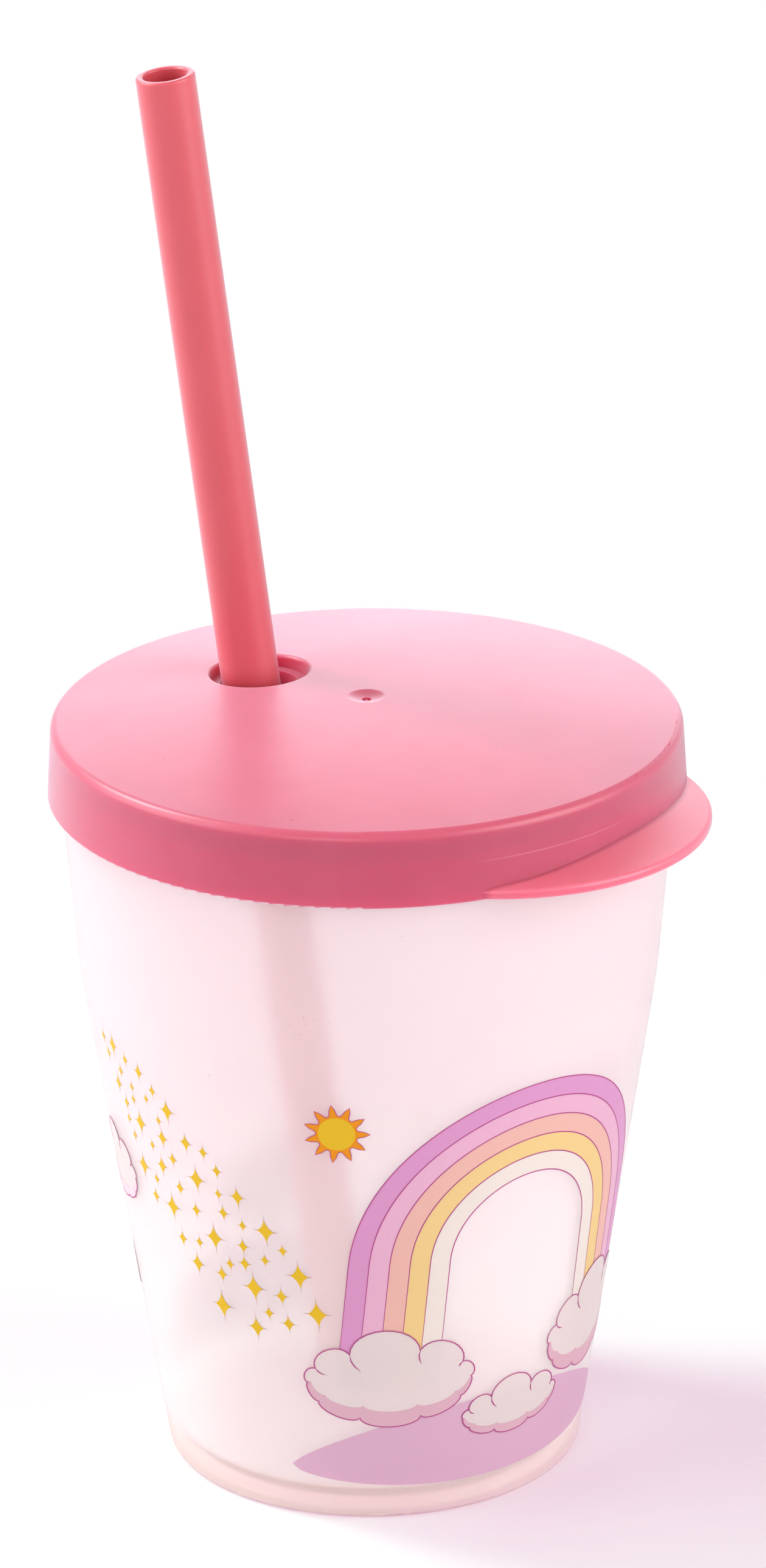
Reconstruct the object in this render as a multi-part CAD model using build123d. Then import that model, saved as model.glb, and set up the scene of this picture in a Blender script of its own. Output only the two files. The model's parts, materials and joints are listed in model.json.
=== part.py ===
from build123d import *
import os
from math import cos, pi, radians, sin, sqrt, tan

# A kids' tumbler in three moulded pieces: a frosted tapered cup, a push-on lid with a
# thumb tab, and a thick reusable straw that leans in the lid's hole.
# Sizes are millimetres. The origin is the centre of the cup's foot on the cup's axis,
# +Z runs up that axis, +X is to the right of someone who holds the printed front
# towards -Y. The thumb tab points between +X and -Y.

# ---- cup: heights from the table, outside radii
cup_h = 121.0            # foot to rim
foot_r = 32.8            # outside of the foot
foot_corner = 1.0        # rounding under the foot's outer edge
foot_ring_w = 2.6        # flat ring that the cup stands on
foot_recess = 2.0        # how far the floor's underside is raised
floor_t = 2.0
cup_wall = 1.3
upper_h = 39.6           # stiffer, steeper band below the rim
upper_taper = 2.64       # how much narrower that band is at its lower end
belt_blend = 120.0       # gentle blend between the two cones
floor_corner = 3.5       # inside corner between floor and wall
rim_corner = 0.4

# ---- the cup's snap lip, hidden by the lid
lip_r = 48.0             # drives the lid's skirt and the cup's mouth
shoulder_out = 0.1       # widest visible radius, just under the lid, beyond the lip
shoulder_rise = 1.2      # from the skirt's bottom up to the shoulder
shoulder_step = 0.6      # height of the ledge above the shoulder
neck_in = 0.6            # neck below the lip, measured in from it
neck_wall = 1.2
lip_h = 2.6              # straight height of the lip
lip_ramp = 1.0           # sloped underside of the lip

# ---- lid
skirt_h = 11.8
skirt_draft = 0.7        # how much narrower the skirt is at its top
skirt_wall = 1.0
plate_t = 1.5
dome_rise = 3.6          # the top's centre above its edge
edge_round = 1.4         # rounded top edge
skirt_lip_round = 0.4    # rounded bottom edge of the skirt
plug_h = 4.0             # ring that stands inside the cup's mouth
plug_t = 1.2
plug_lead = 0.6          # bevel that guides the ring into the mouth
bead_h = 0.6             # flat height of the snap bead
bead_ramp = 1.2

# ---- thumb tab: a dished crescent, turned about an axis of its own
tab_turn = -35.0         # degrees from +X
tab_reach = 7.8          # how far it stands out beyond the skirt
tab_r = 32.6             # its outer arc
tab_edge_t = 1.7
tab_crease_t = 3.8       # thickness where it meets the skirt, at its middle
tab_dish = 0.35          # hollow of its top surface
tab_edge_round = 0.7

# ---- straw hole in the lid: a counterbore, a ledge and a collar
hole_x = -16.8
hole_y = 13.5
ledge_w = 1.6            # width of the ledge between counterbore and through hole
hole_depth = 2.2         # top surface to ledge
hole_edge_round = 0.5
collar_wall = 1.2
collar_h = 5.0           # ledge to the collar's lower end

# ---- moulding gate at the lid's centre: a round dish, a pit in it and a nub in the pit
gate_dish_r = 2.85
gate_dish_depth = 0.65
gate_dish_round = 1.0
gate_pit_r = 0.75
gate_pit_depth = 0.4
gate_nub_r = 0.2
gate_nub_h = 0.3

# ---- straw
straw_r = 4.6
straw_wall = 1.15
straw_len = 220.0
straw_lean = 6.65        # degrees from vertical
straw_lean_turn = 184.5  # direction of the lean, degrees from +X
straw_end_round = 0.4

# ---- clearances
seat_clear = 0.1         # rim to the lid's flat seat
snap_clear = 0.05        # lip to the snap bead that passes it
lip_clear = 0.3          # skirt to the cup's lip, at the top of the skirt
plug_clear = 0.3         # plug ring to the cup's mouth
straw_clear = 0.3        # straw to the hole's edge and to the floor
straw_play = 1.65        # how much larger than the straw the through hole is, in radius


def turned(section):
    """Turn a half section, drawn as radius and height, about the vertical axis."""
    return revolve(Plane.XZ * section, Axis.Z)


def rounded_face(corners):
    """A closed face from (radius, height, corner radius) triples."""
    points = [(r, z) for r, z, _ in corners]
    radii = [corner for _, _, corner in corners]
    return make_face(FilletPolyline(*points, radius=radii, close=True))


def cone_r(z, low, high):
    """Radius at height z on the straight line between two (radius, height) points."""
    return low[0] + (high[0] - low[0]) * (z - low[1]) / (high[1] - low[1])


# ---- what follows from the sizes above
neck_r = lip_r - neck_in
mouth_r = neck_r - neck_wall
shoulder_r = lip_r + shoulder_out
belt_r = shoulder_r - upper_taper
skirt_top_r = lip_r + lip_clear + skirt_wall
skirt_r = skirt_top_r + skirt_draft
tab_offset = skirt_r + tab_reach - tab_r
through_r = straw_r + straw_play
hole_r = through_r + ledge_w
floor_z = foot_recess + floor_t
belt_z = cup_h - upper_h
seat_z = cup_h + seat_clear
edge_z = seat_z + plate_t
skirt_z = edge_z - skirt_h
shoulder_z = skirt_z + shoulder_rise
lip_z = cup_h - lip_h
dome_r = (skirt_top_r ** 2 + dome_rise ** 2) / (2 * dome_rise)
dome_z = edge_z + dome_rise - dome_r


def cup():
    """Tapered cup with a foot ring, a raised floor and a snap lip."""
    belt_in_r = belt_r - cup_wall
    foot_in_r = foot_r - foot_corner - foot_ring_w
    floor_r = cone_r(floor_z, (foot_r, 0), (belt_r, belt_z)) - cup_wall
    outside = [
        (0, foot_recess, 0),
        (foot_in_r - foot_recess * tan(radians(20)), foot_recess, 0.5),
        (foot_in_r, 0, 0.3),
        (foot_r, 0, foot_corner),
        (belt_r, belt_z, belt_blend),
        (shoulder_r, shoulder_z, 0.3),
        (neck_r, shoulder_z + shoulder_step, 0.2),
        (neck_r, lip_z - lip_ramp, 0.3),
        (lip_r, lip_z, 0.3),
        (lip_r, cup_h, rim_corner),
    ]
    inside = [
        (mouth_r, cup_h, rim_corner),
        (belt_in_r, belt_z, belt_blend),
        (floor_r, floor_z, floor_corner),
        (0, floor_z, 0),
    ]
    return turned(rounded_face(outside + inside))


def hole_centre():
    """The straw hole's centre and the height of the lid's top surface there."""
    out = sqrt(hole_x ** 2 + hole_y ** 2)
    top = dome_z + sqrt(dome_r ** 2 - out ** 2)
    return Vector(hole_x, hole_y, top)


def gate_mark():
    """Half section of what the gate mark takes out of the domed top."""
    top = edge_z + dome_rise
    dish_r = (gate_dish_r ** 2 + gate_dish_depth ** 2) / (2 * gate_dish_depth)
    pit_z = top - gate_dish_depth - gate_pit_depth
    corner = (Align.MIN, Align.MIN)
    dish = Pos(0, top - gate_dish_depth + dish_r) * Circle(dish_r)
    pit = Pos(0, pit_z) * Rectangle(gate_pit_r, gate_dish_depth, align=corner)
    nub = Pos(0, pit_z) * Rectangle(gate_nub_r, gate_nub_h, align=corner)
    return dish + pit - nub


def lid_shell():
    """Outside of the lid, as a solid: drafted skirt, rounded edge, domed top, gate mark."""
    above = edge_z + 4 * dome_rise
    corners = [
        (0, skirt_z, 0),
        (skirt_r, skirt_z, skirt_lip_round),
        (cone_r(above, (skirt_r, skirt_z), (skirt_top_r, edge_z)), above, 0),
        (0, above, 0),
    ]
    section = rounded_face(corners) & (Pos(0, dome_z) * Circle(dome_r))
    edge = section.vertices().filter_by(lambda v: v.Y > edge_z - 1).sort_by(Axis.X)[-1]
    section = fillet(edge, edge_round) - gate_mark()
    brim = section.vertices().filter_by(lambda v: v.Y > edge_z + dome_rise - gate_dish_depth / 2)
    return turned(fillet(brim, gate_dish_round))


def tab_disc():
    """The dished disc that the thumb tab is cut from."""
    edge_top = skirt_z + tab_edge_t
    crease_top = skirt_z + tab_crease_t
    crease_r = cone_r(crease_top, (skirt_r, skirt_z), (skirt_top_r, edge_z))
    crease_out = crease_r - tab_offset
    middle = ((crease_out + tab_r) / 2, (edge_top + crease_top) / 2 - tab_dish)
    inner = crease_out - 3 * skirt_wall
    outline = [
        Line((inner, skirt_z), (tab_r, skirt_z)),
        Line((tab_r, skirt_z), (tab_r, edge_top)),
        ThreePointArc((tab_r, edge_top), middle, (crease_out, crease_top)),
        Line((crease_out, crease_top), (inner, crease_top)),
        Line((inner, crease_top), (inner, skirt_z)),
    ]
    section = make_face(outline)
    rim = section.vertices().filter_by(lambda v: v.X > tab_r - 0.01)
    rim = rim.filter_by(lambda v: v.Y < edge_top + 0.01)
    ring = turned(fillet(rim, tab_edge_round))
    return Rot(0, 0, tab_turn) * Pos(tab_offset, 0, 0) * ring


def lid_hollow():
    """Space under the lid: channel for the cup's rim, snap bead, and the domed middle."""
    wall_low = (skirt_r - skirt_wall, skirt_z)
    wall_high = (skirt_top_r - skirt_wall, edge_z)
    bead_r = lip_r + snap_clear
    bead_z = lip_z - lip_ramp - bead_h
    bead_low_z = bead_z - bead_ramp
    bead_high_z = bead_z + bead_h + bead_ramp
    below = skirt_z - 1
    plug_z = seat_z - plug_h
    plug_top_r = mouth_r - plug_clear
    plug_low_r = cone_r(plug_z, (belt_r - cup_wall, belt_z), (mouth_r, cup_h)) - plug_clear
    channel = [
        (0, below, 0),
        (cone_r(below, wall_low, wall_high), below, 0),
        (cone_r(bead_low_z, wall_low, wall_high), bead_low_z, 0.3),
        (bead_r, bead_z, 0.2),
        (bead_r, bead_z + bead_h, 0.2),
        (cone_r(bead_high_z, wall_low, wall_high), bead_high_z, 0.3),
        (cone_r(seat_z, wall_low, wall_high), seat_z, 0.3),
        (plug_top_r, seat_z, 0.3),
        (plug_low_r, plug_z + plug_lead, 0),
        (plug_low_r - plug_lead, plug_z, 0),
        (0, plug_z, 0),
    ]
    middle = Rectangle(plug_low_r - plug_t, 2 * plug_h, align=(Align.MIN, Align.MIN))
    under_dome = (Pos(0, plug_z - 1) * middle) & (Pos(0, dome_z) * Circle(dome_r - plate_t))
    return turned(rounded_face(channel)) + turned(under_dome)


def upright(radius, low, high):
    """A cylinder about the straw hole's own vertical axis, between two heights."""
    placed = Pos(hole_x, hole_y, low)
    return placed * Cylinder(radius, high - low, align=(Align.CENTER, Align.CENTER, Align.MIN))


def collar():
    """Thick boss under the lid round the straw hole, with the ledge inside it."""
    top = hole_centre().Z - plate_t / 2
    ledge_z = hole_centre().Z - hole_depth
    boss = upright(through_r + collar_wall, ledge_z - collar_h, ledge_z)
    shelf = upright(hole_r + collar_wall, ledge_z - collar_wall, top)
    return boss + shelf


def hole_cut():
    """Counterbore and through hole."""
    top = edge_z + 2 * dome_rise
    ledge_z = hole_centre().Z - hole_depth
    through = upright(through_r, ledge_z - 2 * collar_h, top)
    return upright(hole_r, ledge_z, top) + through


def lid():
    """Push-on lid with its thumb tab, straw hole and gate mark."""
    body = lid_shell() + tab_disc() - lid_hollow() + collar() - hole_cut()
    centre = hole_centre()
    rim = body.edges().filter_by(
        lambda e: (e.center(CenterOf.BOUNDING_BOX) - centre).length < 0.5
        and abs(e.length - 2 * pi * hole_r) < 1
    )
    return fillet(rim, hole_edge_round)


def straw():
    """Straight tube with rounded ends, standing on the floor and leaning in the hole."""
    bore_r = straw_r - straw_wall
    section = rounded_face([
        (bore_r, 0, straw_end_round),
        (straw_r, 0, straw_end_round),
        (straw_r, straw_len, straw_end_round),
        (bore_r, straw_len, straw_end_round),
    ])
    lean = radians(straw_lean)
    turn = radians(straw_lean_turn)
    centre = hole_centre()
    push = through_r - straw_r / cos(lean) - straw_clear
    ledge_z = centre.Z - hole_depth
    foot_z = floor_z + straw_clear + straw_r * sin(lean)
    drop = (ledge_z - foot_z) * tan(lean)
    foot_x = hole_x + (push - drop) * cos(turn)
    foot_y = hole_y + (push - drop) * sin(turn)
    place = Pos(foot_x, foot_y, foot_z) * Rot(0, 0, straw_lean_turn) * Rot(0, straw_lean, 0)
    return place * turned(section)


os.makedirs("parts", exist_ok=True)
for name, piece in {"cup": cup(), "lid": lid(), "straw": straw()}.items():
    piece.label = name
    export_step(piece, f"parts/{name}.step")
    print(name, "solids", len(piece.solids()), "volume", round(piece.volume))
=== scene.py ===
import json
import math
import random

import bmesh
import bpy
from mathutils import Matrix, Vector


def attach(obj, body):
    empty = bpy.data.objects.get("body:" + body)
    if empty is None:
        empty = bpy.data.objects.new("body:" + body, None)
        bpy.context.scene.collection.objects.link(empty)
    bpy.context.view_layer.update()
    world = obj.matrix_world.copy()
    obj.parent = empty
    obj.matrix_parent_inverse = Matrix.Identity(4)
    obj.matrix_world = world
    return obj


# The looks of a kids' tumbler: frosted cup with a print, satin lid and thick straw.
# Metres throughout. The cup stands on the floor at the origin with its front towards -Y.
# Azimuths are angles round the cup from +X, seen from above and counter-clockwise.

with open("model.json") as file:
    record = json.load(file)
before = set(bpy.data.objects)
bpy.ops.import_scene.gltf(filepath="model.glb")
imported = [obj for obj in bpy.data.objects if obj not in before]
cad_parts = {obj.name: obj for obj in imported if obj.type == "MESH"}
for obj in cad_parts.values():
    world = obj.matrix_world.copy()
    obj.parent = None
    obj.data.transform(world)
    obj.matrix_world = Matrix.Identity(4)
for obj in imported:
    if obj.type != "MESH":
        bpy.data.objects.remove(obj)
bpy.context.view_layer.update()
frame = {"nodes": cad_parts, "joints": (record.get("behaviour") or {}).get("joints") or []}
mm = 0.001
strawAxis = Vector(next(joint for joint in frame["joints"] if joint["child"] == "straw")["axis"])
print("frame loaded", sorted(frame["nodes"]))


def linear(hexColour):  # "F6CF3C" as it is seen, turned into the light that the shader wants
    channels = [int(hexColour[i:i + 2], 16) / 255 for i in (0, 2, 4)]
    return tuple(c / 12.92 if c < 0.04045 else ((c + 0.055) / 1.055) ** 2.4 for c in channels) + (1,)


class Value:  # a node's output that can stand in a sum
    def __init__(self, look, socket):
        self.look = look
        self.socket = socket

    def maths(self, operation, *terms):
        return self.look.add("Math", {"operation": operation}, dict(enumerate(terms)))

    def __add__(self, other):
        return self.maths("ADD", self, other)

    def __sub__(self, other):
        return self.maths("SUBTRACT", self, other)

    def __rsub__(self, other):
        return self.maths("SUBTRACT", other, self)

    def __mul__(self, other):
        return self.maths("MULTIPLY", self, other)

    def __abs__(self):
        return self.maths("ABSOLUTE", self)

    __radd__ = __add__
    __rmul__ = __mul__


class Look:  # the nodes of one material or world
    def __init__(self, owner):
        self.owner = owner
        owner.use_nodes = True
        self.tree = owner.node_tree
        self.tree.nodes.clear()
        self.place = self.add("TexCoord", output="Object")

    def add(self, kind, settings=None, inputs=None, output=0):
        node = self.tree.nodes.new("ShaderNode" + kind)
        for name, value in (settings or {}).items():
            setattr(node, name, value)
        for name, value in (inputs or {}).items():
            self.feed(node.inputs[name], value)
        return Value(self, node.outputs[output]) if node.outputs else node

    def feed(self, socket, value):
        if isinstance(value, Value):
            self.tree.links.new(value.socket, socket)
        else:
            socket.default_value = value

    def noise(self, size, detail=2, at=None):  # size of its patches, in metres
        return self.add("TexNoise", None, {
            "Vector": at or self.place, "Scale": 1 / size, "Detail": detail})

    def fade(self, value, low, high):  # 0 at low and 1 at high, smooth between, either way round
        return self.add("MapRange", {"interpolation_type": "SMOOTHSTEP"}, {
            "Value": value, "From Min": low, "From Max": high})

    def patches(self, size, low, high, detail=3):  # soft spots of noise, where it goes from low to high
        return self.fade(self.noise(size, detail), low, high)

    def mix(self, factor, colourA, colourB):  # the numbers are the node's colour sockets
        return self.add("Mix", {"data_type": "RGBA"}, {0: factor, 6: colourA, 7: colourB}, output=2)

    def parts(self):  # the place's x, y and z
        split = self.add("SeparateXYZ", None, {0: self.place})
        return [Value(self, socket) for socket in split.socket.node.outputs]

    def length(self, x, y):
        return self.add("Math", {"operation": "SQRT"}, {0: x * x + y * y})

    def bump(self, height, distance):
        return self.add("Bump", None, {"Height": height, "Distance": distance, "Strength": 1})

    def finish(self, fixed, changing):  # both by the shader's own names
        shader = self.add("BsdfPrincipled", None, {**fixed, **changing})
        self.add("OutputMaterial", None, {"Surface": shader})
        return self.owner


def newLook(name):
    return Look(bpy.data.materials.new(name))


def vary(middle, amount, noise):  # noise swings about a half
    return middle + amount * (noise - 0.5)


def dress(node, material):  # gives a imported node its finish
    node.data.materials.clear()
    node.data.materials.append(material)
    for slot in node.material_slots:
        slot.link = "DATA"
        slot.material = material


lidLook = {
    "colour": (0.56, 0.062, 0.132, 1),
    "paleColour": (0.585, 0.07, 0.146, 1),
    "mottle": (14 * mm, 0.35, 0.65),  # the pale patches: their size, where they start and are full
    "tabGlowColour": (0.8, 0.15, 0.23, 1),
    "tabGlowFade": (49.9 * mm, 50.7 * mm),  # painted glow: the thumb tab is thin and is painted paler outside this radius, standing in for light shining through its plastic
    "partHighlightColour": (0.7, 0.18, 0.26, 1),
    "partHighlightLine": (117.1 * mm, 0.13 * mm),  # height and half width of the painted highlight along the mould's parting line
    "partHighlightAzimuths": (-74, -62, -44, -36),  # where it fades in, is full, fades and ends
    "scuffColour": (0.43, 0.04, 0.095, 1),
    "scuffWidth": 0.11 * mm,
    "scuffArc": 0.6,  # how far round it a scuff fades in, for its radius
    "scuffs": (  # across, depth, radius and the way it bulges, in degrees
        (-44.2 * mm, 5.0 * mm, 1.1 * mm, 300),
        (-42.8 * mm, 6.2 * mm, 0.8 * mm, 120),
        (-15.6 * mm, 0.1 * mm, 1.4 * mm, 80),
        (6.4 * mm, 10.4 * mm, 1.2 * mm, 200),
        (-32.0 * mm, -20.6 * mm, 0.9 * mm, 20),
        (-29.5 * mm, -20.2 * mm, 0.8 * mm, 230),
        (21.0 * mm, -19.0 * mm, 1.2 * mm, 150),
        (-25.5 * mm, -40.5 * mm, 0.9 * mm, 60),
    ),
    "scuffAndHighlightStrength": 0.8,  # of scuffs, and of the parting line's painted highlight
    "scuffAndHighlightCore": 0.3,  # the share of their width that is at full strength
    "speckColour": (0.42, 0.01, 0.02, 1),
    "speckCore": 0.5,
    "specks": (  # across, depth, radius
        (-11.6 * mm, -44.0 * mm, 0.24 * mm),
        (-14.8 * mm, -15.8 * mm, 0.2 * mm),
        (-12.4 * mm, -26.0 * mm, 0.16 * mm),
        (9.0 * mm, -33.0 * mm, 0.17 * mm),
        (17.0 * mm, -8.0 * mm, 0.14 * mm),
        (31.0 * mm, 6.0 * mm, 0.15 * mm),
    ),
    "grain": 0.35 * mm,
    "grainDepth": 0.006 * mm,
    "drift": 5 * mm,  # size of the patches where the gloss changes
    "driftDetail": 4,
    "roughness": 0.38,
    "roughnessDrift": 0.08,
    "roughnessGrain": 0.05,
    "plastic": {
        "IOR": 1.5,
        "Subsurface Weight": 1.0,
        "Subsurface Radius": (1.0, 0.35, 0.45),
        "Subsurface Scale": 6 * mm,
        "Sheen Weight": 1.0,
        "Sheen Roughness": 0.36,
        "Sheen Tint": (1.0, 0.84, 0.98, 1),
        "Coat Weight": 0.35,
        "Coat Roughness": 0.4,
    },
}


def paintLid():
    look = newLook("lidPink")
    x, y, z = look.parts()
    colour = look.mix(look.patches(*lidLook["mottle"]), lidLook["colour"], lidLook["paleColour"])
    # painted glow: a paler tab colour in place of light shining through its thin plastic
    tabGlow = look.fade(look.length(x, y), *lidLook["tabGlowFade"])
    colour = look.mix(tabGlow, colour, lidLook["tabGlowColour"])
    strength, core = lidLook["scuffAndHighlightStrength"], lidLook["scuffAndHighlightCore"]
    width = lidLook["scuffWidth"]
    for across, depth, radius, bulge in lidLook["scuffs"]:
        dx, dy = x - across, y - depth
        ahead = dx * math.cos(math.radians(bulge)) + dy * math.sin(math.radians(bulge))
        line = look.fade(abs(look.length(dx, dy) - radius), width, core * width)
        line = line * look.fade(ahead, 0, lidLook["scuffArc"] * radius)
        colour = look.mix(strength * line, colour, lidLook["scuffColour"])
    for across, depth, radius in lidLook["specks"]:
        away = look.length(x - across, y - depth)
        speck = look.fade(away, radius, lidLook["speckCore"] * radius)
        colour = look.mix(speck, colour, lidLook["speckColour"])
    # painted highlight: a paler line along the mould's parting line, for light catching its thin ridge
    azimuth = look.add("Math", {"operation": "ARCTAN2"}, {0: y, 1: x})
    start, full, fading, end = [math.radians(a) for a in lidLook["partHighlightAzimuths"]]
    height, half = lidLook["partHighlightLine"]
    partHighlight = look.fade(abs(z - height), half, core * half)
    partHighlight = partHighlight * look.fade(azimuth, start, full) * look.fade(azimuth, end, fading)
    colour = look.mix(strength * partHighlight, colour, lidLook["partHighlightColour"])
    grain = look.noise(lidLook["grain"])
    drift = look.noise(lidLook["drift"], lidLook["driftDetail"])
    roughness = vary(lidLook["roughness"], lidLook["roughnessDrift"], drift)
    return look.finish(lidLook["plastic"], {
        "Base Color": colour,
        "Roughness": vary(roughness, lidLook["roughnessGrain"], grain),
        "Normal": look.bump(grain, lidLook["grainDepth"])})


strawLook = {
    "colour": (0.63, 0.082, 0.108, 1),
    "paleColour": (0.67, 0.1, 0.13, 1),
    "mottle": (9 * mm, 0.3, 0.7),
    "mottleStrength": 0.25,
    "streakWidth": 0.25 * mm,
    "streakStretch": 0.985,  # 1 would draw the streaks out endlessly
    "streakDepth": 0.004 * mm,
    "roughness": 0.38,
    "roughnessStreaks": 0.12,
    "plastic": {
        "IOR": 1.5,
        "Subsurface Weight": 0.3,
        "Subsurface Radius": (1.0, 0.3, 0.3),
        "Subsurface Scale": 3 * mm,
        "Sheen Weight": 0.9,
        "Sheen Roughness": 0.35,
        "Sheen Tint": (1.0, 0.84, 0.98, 1),
        "Coat Weight": 0.35,
        "Coat Roughness": 0.4,
    },
}


def paintStraw():
    look = newLook("strawCoral")
    along = look.add("VectorMath", {"operation": "DOT_PRODUCT"}, {
        0: look.place, 1: strawAxis}, output="Value")
    shift = look.add("VectorMath", {"operation": "SCALE"}, {
        0: strawAxis, "Scale": along * strawLook["streakStretch"]})
    squeezed = look.add("VectorMath", {"operation": "SUBTRACT"}, {0: look.place, 1: shift})
    streaks = look.noise(strawLook["streakWidth"], at=squeezed)
    mottle = strawLook["mottleStrength"] * look.patches(*strawLook["mottle"])
    return look.finish(strawLook["plastic"], {
        "Base Color": look.mix(mottle, strawLook["colour"], strawLook["paleColour"]),
        "Roughness": vary(strawLook["roughness"], strawLook["roughnessStreaks"], streaks),
        "Normal": look.bump(streaks, strawLook["streakDepth"])})


cupLook = {
    "topColour": linear("FEF2F5"),
    "litLowColour": linear("FFFAFA"),
    "bodyLightFade": (10 * mm, 90 * mm),  # painted light: from this height to that the low colour, painted whiter so that the lower cup renders brighter, turns into the top one
    # the foot band: partly the thick plastic's own peach tone, partly painted shade
    "footToneAndShade": linear("FFF5EE"),
    "footToneAndShadeFade": (5.2 * mm, 6.6 * mm),
    "frost": 0.3 * mm,
    "frostDepth": 0.003 * mm,
    "drift": 12 * mm,
    "driftDetail": 3,
    "roughness": 0.3,
    "roughnessDrift": 0.06,
    "roughnessFrost": 0.06,
    "plastic": {"IOR": 1.1, "Transmission Weight": 0.6},
}


def paintCup():
    look = newLook("cupFrost")
    height = look.parts()[2]
    # painted light: the lower cup is painted whiter, to brighten where it renders dim
    body = look.mix(look.fade(height, *cupLook["bodyLightFade"]), cupLook["litLowColour"], cupLook["topColour"])
    frost = look.noise(cupLook["frost"])
    drift = look.noise(cupLook["drift"], cupLook["driftDetail"])
    roughness = vary(cupLook["roughness"], cupLook["roughnessDrift"], drift)
    return look.finish(cupLook["plastic"], {
        # the foot band is painted peach: partly its thick plastic's tone, partly painted shade
        "Base Color": look.mix(look.fade(height, *cupLook["footToneAndShadeFade"]), cupLook["footToneAndShade"], body),
        "Roughness": vary(roughness, cupLook["roughnessFrost"], frost),
        "Normal": look.bump(frost, cupLook["frostDepth"])})


dress(frame["nodes"]["lid"], paintLid())
dress(frame["nodes"]["straw"], paintStraw())
dress(frame["nodes"]["cup"], paintCup())
print("lid, straw and cup painted")

printLook = {
    "firstLift": 0.016 * mm,  # of the lowest ink over the plastic
    "layerStep": 0.026 * mm,
    "thickness": 0.01 * mm,
    "step": 1.5 * mm,  # an ink's mesh is cut at least this fine, so that it follows the cup
    "line": 0.19 * mm,  # width of a drawn outline
    "lineEnd": 0.25,  # the share of that width at an open line's ends
    "lineSwell": 3,  # how fast it gets wider from there
    "sides": (0, math.pi),  # stars and ground are on the cup twice
    "mottle": (0.12 * mm, 0.3, 0.7),
    "mottleDetail": 2,
    "darkest": 0.94,  # the share of an ink's colour that its darkest spots have
    "drift": 4 * mm,
    "driftDetail": 3,
    "roughness": 0.36,
    "roughnessDrift": 0.1,
    "plastic": {"IOR": 1.15, "Transmission Weight": 0.35},  # the inks let some light through
    "inks": {
        "outlineRose": linear("C95A9E"),
        "cloudCream": linear("F5E6E6"),
        "cloudRose": linear("EFC3D3"),
        "groundLilac": linear("EBC0D9"),
        "starYellow": linear("F8CF36"),
        "starGrey": linear("D9B9B6"),
        "sunOrange": linear("F9A62B"),
        "bandLilac": linear("EAA9D8"),
        "bandPink": linear("F6C3DE"),
        "bandPeach": linear("F9C9BF"),
        "bandYellow": linear("FBDD9E"),
        "bandCream": linear("FAEFE9"),
    },
}


def cupOutline():  # the cup's outside as (height, radius), from the foot to the lip
    corners = [vertex.co for vertex in frame["nodes"]["cup"].data.vertices]
    spots = {(round(spot.z, 5), round(math.hypot(spot.x, spot.y), 5)) for spot in corners}
    hull = []
    for spot in sorted(spots):
        while len(hull) > 1 and turn(hull[-2], hull[-1], spot) >= 0:
            hull.pop()
        hull.append(spot)
    return hull


def turn(a, b, c):  # above 0 where the way from a by b to c turns left
    return (b[0] - a[0]) * (c[1] - a[1]) - (b[1] - a[1]) * (c[0] - a[0])


cupProfile = cupOutline()


def cupRadius(height):
    for (lowZ, lowR), (highZ, highR) in zip(cupProfile, cupProfile[1:]):
        if lowZ <= height <= highZ and highZ > lowZ:
            return lowR + (highR - lowR) * (height - lowZ) / (highZ - lowZ)
    return cupProfile[-1][1]


def onCup(azimuth, spot, lift):  # spot is (across, height) on the flat drawing
    radius = cupRadius(spot[1])
    angle = azimuth + spot[0] / radius
    return ((radius + lift) * math.cos(angle), (radius + lift) * math.sin(angle), spot[1])


class Ink:  # one printed colour: all that is drawn in it is one mesh
    def __init__(self, name, colour):
        self.name = name
        self.colour = colour
        self.mesh = bmesh.new()

    def lay(self, azimuth, rows, layer, ring=False, centre=None):  # a grid of spots becomes a thin solid
        lift = printLook["firstLift"] + layer * printLook["layerStep"]
        spots = [spot for row in rows for spot in row]
        width = len(rows[0])
        cells = width if ring else width - 1
        faces = []
        for i in range(len(rows) - 1):
            for j in range(cells):
                k = (j + 1) % width
                faces.append((i * width + j, i * width + k, (i + 1) * width + k, (i + 1) * width + j))
        if centre:
            last = len(spots) - width
            faces += [(last + j, last + (j + 1) % width, len(spots)) for j in range(width)]
            spots.append(centre)
        low = [self.mesh.verts.new(onCup(azimuth, spot, lift)) for spot in spots]
        top = lift + printLook["thickness"]
        high = [self.mesh.verts.new(onCup(azimuth, spot, top)) for spot in spots]
        sides = set()
        for face in faces:
            self.mesh.faces.new([high[i] for i in face])
            self.mesh.faces.new([low[i] for i in reversed(face)])
            sides.update(zip(face, face[1:] + face[:1]))
        for a, b in sides:
            if (b, a) not in sides:
                self.mesh.faces.new((high[b], high[a], low[a], low[b]))

    def paint(self):
        look = newLook(self.name)
        mottle = look.patches(*printLook["mottle"], printLook["mottleDetail"])
        darker = tuple(printLook["darkest"] * c for c in self.colour[:3]) + (1,)
        drift = look.noise(printLook["drift"], printLook["driftDetail"])
        return look.finish(printLook["plastic"], {
            "Base Color": look.mix(mottle, darker, self.colour),
            "Roughness": vary(printLook["roughness"], printLook["roughnessDrift"], drift)})

    def dry(self):
        bmesh.ops.recalc_face_normals(self.mesh, faces=self.mesh.faces)
        data = bpy.data.meshes.new(self.name)
        self.mesh.to_mesh(data)
        self.mesh.free()
        data.materials.append(self.paint())
        piece = bpy.data.objects.new("print_" + self.name, data)
        bpy.context.scene.collection.objects.link(piece)
        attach(piece, "cup")


inks = {name: Ink(name, colour) for name, colour in printLook["inks"].items()}


def moved(spots, across, height):
    return [(u + across, v + height) for u, v in spots]


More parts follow.
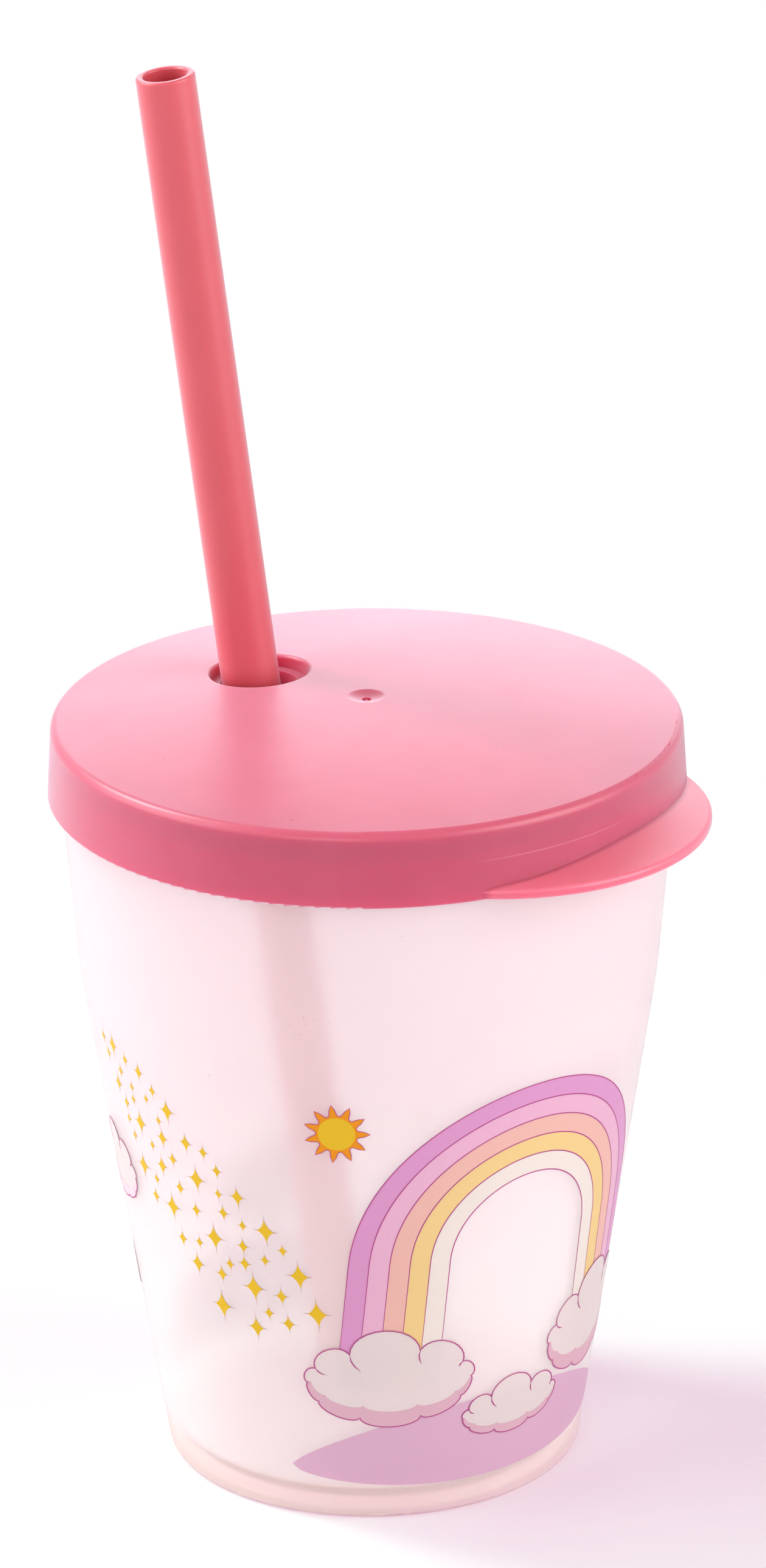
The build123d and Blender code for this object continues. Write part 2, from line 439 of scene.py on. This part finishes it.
def filled(ink, azimuth, outline, layer, centre):  # outline goes once round the centre
    reach = max(math.dist(spot, centre) for spot in outline)
    count = max(2, math.ceil(reach / printLook["step"]))
    rows = [[(centre[0] + (u - centre[0]) * k / count, centre[1] + (v - centre[1]) * k / count)
             for u, v in outline] for k in range(count, 0, -1)]
    ink.lay(azimuth, rows, layer, ring=True, centre=centre)


def drawn(ink, azimuth, path, layer, closed=False, width=printLook["line"]):
    count = len(path)
    rows = ([], [])
    for i, (u, v) in enumerate(path):
        before = path[i - 1] if closed or i else path[0]
        after = path[(i + 1) % count] if closed or i < count - 1 else path[-1]
        length = math.dist(before, after) or 1
        swell = printLook["lineEnd"] + printLook["lineSwell"] * min(i, count - 1 - i) / count
        half = width * (1 if closed else min(1, swell)) / 2
        du = (after[1] - before[1]) / length * half
        dv = (before[0] - after[0]) / length * half
        rows[0].append((u + du, v + dv))
        rows[1].append((u - du, v - dv))
    ink.lay(azimuth, rows, layer, ring=closed)


def arc(centre, radius, start, end, count):
    angles = [start + (end - start) * i / count for i in range(count + 1)]
    return [(centre[0] + radius * math.cos(a), centre[1] + radius * math.sin(a)) for a in angles]


starLook = {
    "count": 60,
    "large": 12,  # of them
    "middling": 8,
    "heights": (7.6 * mm, 6 * mm, 4.6 * mm, 3.7 * mm),  # of a large, middling and two small stars
    "start": (-156, 78 * mm),  # azimuth in degrees and height of the trail's thin end
    "end": (-111, 35 * mm),
    "halfWidths": (2.5 * mm, 10 * mm, 8 * mm),  # across the trail at its start, middle and end
    "slant": 0.35,  # how far a step across the trail also goes up
    "gathering": 0.9,  # below 1 more stars are near the trail's end
    "startSize": 0.72,  # the share of its height that a star has at the start
    "growth": 0.28,  # and what it gains by the end
    "room": 0.36,  # between two stars, for the sum of their heights
    "tries": 40,
    "seed": 5,
    "points": 24,  # round a star's outline
    "slim": 0.74,  # a star's width for its height
    "sharpness": 5,
    "core": 0.62,  # the yellow's share of the whole star
    "coreSlim": 0.95,
    "coreSharpness": 3,
}


def starOutline(height, width, sharpness):
    angles = [math.tau * i / starLook["points"] for i in range(starLook["points"])]
    return [(width / 2 * math.copysign(abs(math.cos(a)) ** sharpness, math.cos(a)),
             height / 2 * math.copysign(abs(math.sin(a)) ** sharpness, math.sin(a))) for a in angles]


def drawStar(azimuth, spot, height):
    slim = starLook["slim"]
    tips = starOutline(height, height * slim, starLook["sharpness"])
    coreHeight = height * starLook["core"]
    core = starOutline(coreHeight, coreHeight * slim * starLook["coreSlim"], starLook["coreSharpness"])
    filled(inks["starGrey"], azimuth, moved(tips, *spot), 0, spot)
    filled(inks["starYellow"], azimuth, moved(core, *spot), 1, spot)


def trailMiddle():
    return math.radians((starLook["start"][0] + starLook["end"][0]) / 2)


def trailSpot(share, side):  # share along the trail, side from -1 to 1 across it
    (startAzimuth, startHeight), (endAzimuth, endHeight) = starLook["start"], starLook["end"]
    height = startHeight + (endHeight - startHeight) * share
    startHalf, middleHalf, endHalf = starLook["halfWidths"]
    half = startHalf + (middleHalf - startHalf) * min(1, share * 2)
    half += (endHalf - middleHalf) * max(0, share * 2 - 1)
    azimuth = math.radians(startAzimuth + (endAzimuth - startAzimuth) * share)
    across = (azimuth - trailMiddle()) * cupRadius(height)
    return across + side * half, height + side * half * starLook["slant"]


def starHeight(number, chance):
    large, middling, *small = starLook["heights"]
    if number < starLook["large"]:
        return large
    if number < starLook["large"] + starLook["middling"]:
        return middling
    return chance.choice(small)


def scatterStars():  # each star is put where it has the most room among a few random places
    chance = random.Random(starLook["seed"])
    placed = []
    for i in range(starLook["count"]):
        height = starHeight(i, chance)
        options = []
        for _ in range(starLook["tries"]):
            share = chance.random() ** starLook["gathering"]
            spot = trailSpot(share, chance.uniform(-1, 1))
            size = height * (starLook["startSize"] + starLook["growth"] * share)
            gaps = [math.dist(spot, other) - (size + otherSize) * starLook["room"]
                    for other, otherSize in placed]
            options.append((min(gaps, default=1), spot, size))
        room, spot, size = max(options)
        if room > 0:
            placed.append((spot, size))
    for side in printLook["sides"]:
        for spot, size in placed:
            drawStar(trailMiddle() + side, spot, size)


rainbowLook = {
    "azimuth": -54,
    "centre": 47 * mm,  # height of the arch's centre
    "outer": 29 * mm,
    "band": 3.2 * mm,
    "legs": 24 * mm,  # height where the legs are lost in the clouds
    "bands": ("bandLilac", "bandPink", "bandPeach", "bandYellow", "bandCream"),
    "bandRows": 3,  # how finely the mesh is cut across a band, up a leg and round the arch
    "legRows": 16,
    "archRows": 60,
}


def archPath(radius):
    centre, low = rainbowLook["centre"], rainbowLook["legs"]
    count = rainbowLook["legRows"]
    legs = [low + (centre - low) * i / count for i in range(count)]
    left = [(-radius, v) for v in legs]
    right = [(radius, v) for v in reversed(legs)]
    return left + arc((0, centre), radius, math.pi, 0, rainbowLook["archRows"]) + right


def drawRainbow(azimuth):
    outer, band, count = rainbowLook["outer"], rainbowLook["band"], rainbowLook["bandRows"]
    for i, name in enumerate(rainbowLook["bands"]):
        radii = [outer - band * (i + row / count) for row in range(count + 1)]
        inks[name].lay(azimuth, [archPath(radius) for radius in radii], 0)
        drawn(inks["outlineRose"], azimuth, archPath(radii[0]), 1)
    drawn(inks["outlineRose"], azimuth, archPath(outer - band * len(rainbowLook["bands"])), 1)


cloudLook = {
    "topPuffs": (0.8, 1.25, 1.5, 1.05, 0.75),  # their sizes, from the right end to the left
    "lowPuffs": (0.7, 0.9, 1.0, 0.9, 0.7),
    "knots": (0.42, 0.38),  # where puffs meet: the reach of their oval for the cloud's width, height
    "puffBulge": 0.775,  # height of a puff for half its width
    "lowBulge": 0.375,
    "puffRows": 12,
    "curl": 1.0,  # how far a puff's line runs on into the cloud, in radians
    "shadeTop": 0.02,  # the rose shade starts this far over the middle, for the cloud's height
    "shadeDepth": 0.3,
    "shadeSwell": 0.6,  # below 1 the shade gets deep close to its ends
    "shadeNarrow": 0.4,
    "shadeRise": 0.1,
    "frontClouds": (  # azimuth, height, width, tallness
        (-86, 25 * mm, 31 * mm, 17 * mm),
        (-22, 26 * mm, 30 * mm, 18 * mm),
        (-52, 17 * mm, 22 * mm, 9 * mm),
        (14, 54 * mm, 19 * mm, 12 * mm),
    ),
    "backClouds": (
        (116, 28 * mm, 24 * mm, 13 * mm),
        (194, 52 * mm, 19 * mm, 13 * mm),
        (176, 30 * mm, 15 * mm, 9 * mm),
    ),
}


def puffPath(start, end, bulge, reach):  # an oval bow from start to end, and on where reach is over pi
    middle = ((start[0] + end[0]) / 2, (start[1] + end[1]) / 2)
    alongU, alongV = (end[0] - start[0]) / 2, (end[1] - start[1]) / 2
    count = cloudLook["puffRows"]
    path = []
    for i in range(int(reach / math.pi * count) + 1):
        a = math.pi * i / count
        rise = math.sin(a) * bulge
        path.append((middle[0] - alongU * math.cos(a) + alongV * rise,
                     middle[1] - alongV * math.cos(a) - alongU * rise))
    return path


def cloudShape(width, tall):  # its outline, and the short curls where two puffs meet
    top, low, count = cloudLook["topPuffs"], cloudLook["lowPuffs"], cloudLook["puffRows"]
    ends = [math.pi * sum(top[:i]) / sum(top) for i in range(len(top))]
    ends += [math.pi + math.pi * sum(low[:i]) / sum(low) for i in range(len(low) + 1)]
    across, up = cloudLook["knots"]
    knots = [(width * across * math.cos(a), tall * up * math.sin(a)) for a in ends]
    outline, curls = [], []
    for i, (start, end) in enumerate(zip(knots, knots[1:])):
        bulge = cloudLook["puffBulge"] if i < len(top) else cloudLook["lowBulge"]
        curl = cloudLook["curl"] if i < len(top) - 1 else 0
        puff = puffPath(start, end, bulge, math.pi + curl)
        outline += puff[:count]
        if curl:
            curls.append(puff[count:])
    return outline, curls


def drawCloud(azimuth, height, width, tall):
    outline, curls = cloudShape(width, tall)
    outline = moved(outline, 0, height)
    filled(inks["cloudCream"], azimuth, outline, 2, (0, height))
    shade = [(u, v) for u, v in outline if v < height + tall * cloudLook["shadeTop"]]
    inner = []
    for i, (u, v) in enumerate(shade):
        swell = math.sin(math.pi * (i + 0.5) / len(shade)) ** cloudLook["shadeSwell"]
        depth = cloudLook["shadeDepth"] * swell
        narrow = 1 - depth * cloudLook["shadeNarrow"]
        rise = depth * tall * cloudLook["shadeRise"]
        inner.append((u * narrow, height + (v - height) * (1 - depth) + rise))
    middle = [((a + c) / 2, (b + d) / 2) for (a, b), (c, d) in zip(shade, inner)]
    inks["cloudRose"].lay(azimuth, (shade, middle, inner), 3)
    drawn(inks["outlineRose"], azimuth, outline, 4, closed=True)
    for curl in curls:
        drawn(inks["outlineRose"], azimuth, moved(curl, 0, height), 4)


groundLook = {
    "azimuth": -57,
    "halfLength": 33 * mm,
    "low": 5.7 * mm,
    "high": 20.5 * mm,
    "endRise": 3.5 * mm,  # how far the lower edge comes up at the ends
    "endThickness": 0.05 * mm,
    "hump": 1.3,  # above 1 the upper edge falls off faster towards the ends
    "rows": 10,
    "columns": 50,
}


def drawGround(azimuth):
    half, low, high = groundLook["halfLength"], groundLook["low"], groundLook["high"]
    count, columns = groundLook["rows"], groundLook["columns"]
    across = [half * (2 * i / columns - 1) for i in range(columns + 1)]
    rows = []
    for k in range(count + 1):
        row = []
        for u in across:
            share = math.sqrt(max(0, 1 - (u / half) ** 2))
            rise = groundLook["endRise"] * (1 - share)
            thick = groundLook["endThickness"] + (high - low - rise) * share ** groundLook["hump"]
            row.append((u, low + rise + thick * k / count))
        rows.append(row)
    inks["groundLilac"].lay(azimuth, rows, 0)


sunLook = {
    "azimuth": -97,
    "height": 71 * mm,
    "radius": 2.9 * mm,
    "rays": 11,
    "rayRoot": 1.12,  # where the rays start, for the radius
    "rayReach": 5.2 * mm,
    "raySharpness": 2,
    "rayPoints": 6,
    "facePoints": 36,
    "line": 0.13 * mm,
}


def drawSun(azimuth):
    spot = (0, sunLook["height"])
    root = sunLook["radius"] * sunLook["rayRoot"]
    count = sunLook["rays"] * sunLook["rayPoints"]
    points = []
    for i in range(count):
        a = math.tau * i / count
        wave = (0.5 + 0.5 * math.cos(a * sunLook["rays"])) ** sunLook["raySharpness"]
        reach = root + (sunLook["rayReach"] - root) * wave
        points.append((spot[0] + reach * math.cos(a), spot[1] + reach * math.sin(a)))
    filled(inks["sunOrange"], azimuth, points, 0, spot)
    face = arc(spot, sunLook["radius"], 0, math.tau, sunLook["facePoints"])[:-1]
    filled(inks["starYellow"], azimuth, face, 1, spot)
    drawn(inks["outlineRose"], azimuth, points, 1, closed=True, width=sunLook["line"])


def printCup():
    scatterStars()
    for side in printLook["sides"]:
        drawGround(math.radians(groundLook["azimuth"]) + side)
    drawRainbow(math.radians(rainbowLook["azimuth"]))
    drawSun(math.radians(sunLook["azimuth"]))
    for azimuth, height, width, tall in cloudLook["frontClouds"] + cloudLook["backClouds"]:
        drawCloud(math.radians(azimuth), height, width, tall)
    for ink in inks.values():
        ink.dry()


printCup()
print("print laid on the cup")

white = (1, 1, 1, 1)
roomLook = {
    "floorSize": 8,
    "floorColour": (0.80, 0.80, 0.80, 1),
    "floorSeen": (0.44, 0.84, 0.63, 1),  # with the glow below it is white in full light and lilac in shade
    "floorGlow": (0.49, 0.02, 0.27, 1),
    "floorFade": (0.05, 0.22),  # from here to there the floor turns into the white surroundings
    "ambient": 0.22,
    "lampAim": Vector((0, 0, 0.08)),
    "lamps": {  # place, size, power and colour
        "keyPanel": ((-1.0, 0.45, 1.2), 0.5, 14.5, white[:3]),
        "rightPanel": ((1.35, -0.6, 0.7), 1.5, 23, white[:3]),
        "backPanel": ((0.1, 1.7, 0.85), 1.4, 6.8, (0.93, 0.88, 1)),
        "leftPanel": ((-1.35, -0.2, 0.5), 1.5, 17, white[:3]),
        "frontPanel": ((-0.4, -1.5, 0.6), 0.8, 5, white[:3]),
    },
}


def seenDirectly(look):  # 1 where the viewer looks, straight or by glass and gloss, and 0 for lighting
    path = look.add("LightPath", output="Is Camera Ray")
    outputs = path.socket.node.outputs
    glossy, through = (Value(look, outputs[name]) for name in ("Is Glossy Ray", "Is Transmission Ray"))
    return path.maths("MAXIMUM", path.maths("MAXIMUM", path, glossy), through)


def layFloor():
    bpy.ops.mesh.primitive_plane_add(size=roomLook["floorSize"])
    floor = bpy.context.object
    floor.name = "floor"
    look = newLook("floorPaper")
    paper = look.add("BsdfDiffuse", None, {"Color": roomLook["floorColour"]})
    shade = look.add("BsdfDiffuse", None, {"Color": roomLook["floorSeen"]})
    glow = look.add("Emission", None, {"Color": roomLook["floorGlow"], "Strength": 1})
    near = look.add("AddShader", None, {0: shade, 1: glow})
    far = look.add("Emission", None, {"Color": white, "Strength": 1})
    x, y = look.parts()[:2]
    away = look.fade(look.length(x, y), *roomLook["floorFade"])
    seen = look.add("MixShader", None, {0: away, 1: near, 2: far})
    shown = look.add("MixShader", None, {0: seenDirectly(look), 1: paper, 2: seen})
    underneath = look.add("NewGeometry", output="Backfacing")  # from below the floor hides nothing
    clear = look.add("BsdfTransparent")
    shown = look.add("MixShader", None, {0: underneath, 1: shown, 2: clear})
    look.add("OutputMaterial", None, {"Surface": shown})
    floor.data.materials.append(look.owner)


def lightWorld():
    world = bpy.data.worlds.new("whiteRoom")
    bpy.context.scene.world = world
    look = Look(world)
    strength = roomLook["ambient"] + (1 - roomLook["ambient"]) * seenDirectly(look)
    back = look.add("Background", None, {"Color": white, "Strength": strength})
    look.add("OutputWorld", None, {"Surface": back})


def hangLamp(name, place, size, power, colour):
    data = bpy.data.lights.new(name, "AREA")
    data.shape = "DISK"
    data.size = size
    data.energy = power
    data.color = colour
    lamp = bpy.data.objects.new(name, data)
    bpy.context.scene.collection.objects.link(lamp)
    lamp.location = place
    aim = roomLook["lampAim"] - Vector(place)
    lamp.rotation_euler = aim.to_track_quat("-Z", "Y").to_euler()


cameraLook = {
    "place": Vector((0, -1.1861, 0.5811)),
    "pan": 0.117,  # degrees
    "tilt": 21.605,
    "roll": -0.59,
    "lens": 187.42,
    "sensor": 36,
    "nearest": 0.05,
}


def setCamera():
    pan, tilt, roll = [math.radians(cameraLook[name]) for name in ("pan", "tilt", "roll")]
    forward = Vector((math.sin(pan) * math.cos(tilt), math.cos(pan) * math.cos(tilt), -math.sin(tilt)))
    level = Vector((math.cos(pan), -math.sin(pan), 0))
    upright = level.cross(forward)
    right = level * math.cos(roll) + upright * math.sin(roll)
    up = upright * math.cos(roll) - level * math.sin(roll)
    data = bpy.data.cameras.new("camera")
    data.sensor_fit = "VERTICAL"
    data.sensor_height = cameraLook["sensor"]
    data.lens = cameraLook["lens"]
    data.clip_start = cameraLook["nearest"]
    camera = bpy.data.objects.new("camera", data)
    bpy.context.scene.collection.objects.link(camera)
    turned = Matrix((right, up, -forward)).transposed().to_4x4()
    camera.matrix_world = Matrix.Translation(cameraLook["place"]) @ turned
    bpy.context.scene.camera = camera


layFloor()
lightWorld()
for lampName, lamp in roomLook["lamps"].items():
    hangLamp(lampName, *lamp)
setCamera()
bpy.context.scene.view_settings.view_transform = "Standard"
print("room, lamps and camera set")
